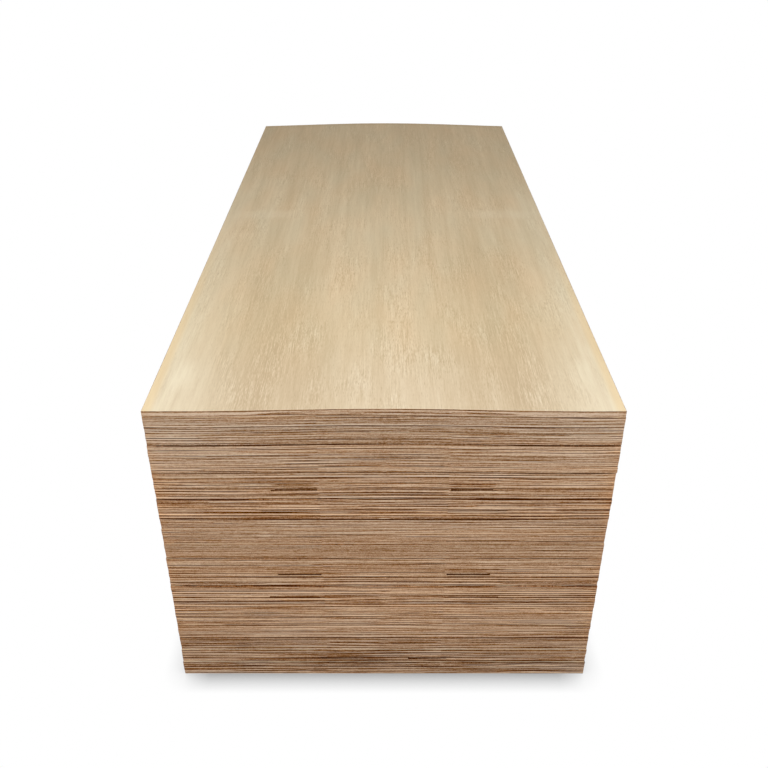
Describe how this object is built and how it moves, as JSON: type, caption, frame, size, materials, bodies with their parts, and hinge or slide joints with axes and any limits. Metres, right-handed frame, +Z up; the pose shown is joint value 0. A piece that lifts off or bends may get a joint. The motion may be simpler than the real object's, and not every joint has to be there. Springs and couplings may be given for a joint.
{
  "type": "stack of plywood sheets",
  "caption": "Stack of full plywood sheets, edges flush, with pale face veneer on top and striped veneer edges, slightly crowned along the middle.",
  "frame": {"origin": "centre of the stack's footprint, on the floor it lies on", "axes": "+Z up through the stack, +Y along the sheets' length, +X across their width"},
  "size_m": [1.2274, 2.4486, 1.0118],
  "materials": {
    "face_veneer": "matte",
    "plywood_edge": "matte"
  },
  "bodies": {
    "root": {"sheet_01": "plywood_edge", "sheet_02": "plywood_edge", "sheet_03": "plywood_edge", "sheet_04": "plywood_edge", "sheet_05": "plywood_edge", "sheet_06": "plywood_edge", "sheet_07": "plywood_edge", "sheet_08": "plywood_edge", "sheet_09": "plywood_edge", "sheet_10": "plywood_edge", "sheet_11": "plywood_edge", "sheet_12": "plywood_edge", "sheet_13": "plywood_edge", "sheet_14": "plywood_edge", "sheet_15": "plywood_edge", "sheet_16": "plywood_edge", "sheet_17": "plywood_edge", "sheet_18": "plywood_edge", "sheet_19": "plywood_edge", "sheet_20": "plywood_edge", "sheet_21": "plywood_edge", "sheet_22": "plywood_edge", "sheet_23": "plywood_edge", "sheet_24": "plywood_edge", "sheet_25": "plywood_edge", "sheet_26": "plywood_edge", "sheet_27": "plywood_edge", "sheet_28": "plywood_edge", "sheet_29": "plywood_edge", "sheet_30": "plywood_edge", "sheet_31": "plywood_edge", "sheet_32": "plywood_edge", "sheet_33": "plywood_edge", "sheet_34": "plywood_edge", "sheet_35": "plywood_edge", "sheet_36": "plywood_edge", "sheet_37": "plywood_edge", "sheet_38": "plywood_edge", "sheet_39": "plywood_edge", "sheet_40": "plywood_edge", "sheet_41": "plywood_edge", "sheet_42": "plywood_edge", "sheet_43": "plywood_edge", "sheet_44": "plywood_edge", "sheet_45": "plywood_edge", "sheet_46": "plywood_edge", "sheet_47": "plywood_edge", "sheet_48": "plywood_edge", "sheet_49": "plywood_edge", "sheet_50": "plywood_edge", "sheet_51": "plywood_edge", "sheet_52": "plywood_edge", "sheet_53": "plywood_edge", "sheet_54": "plywood_edge", "sheet_55": "face_veneer"}
  },
  "joints": []
}
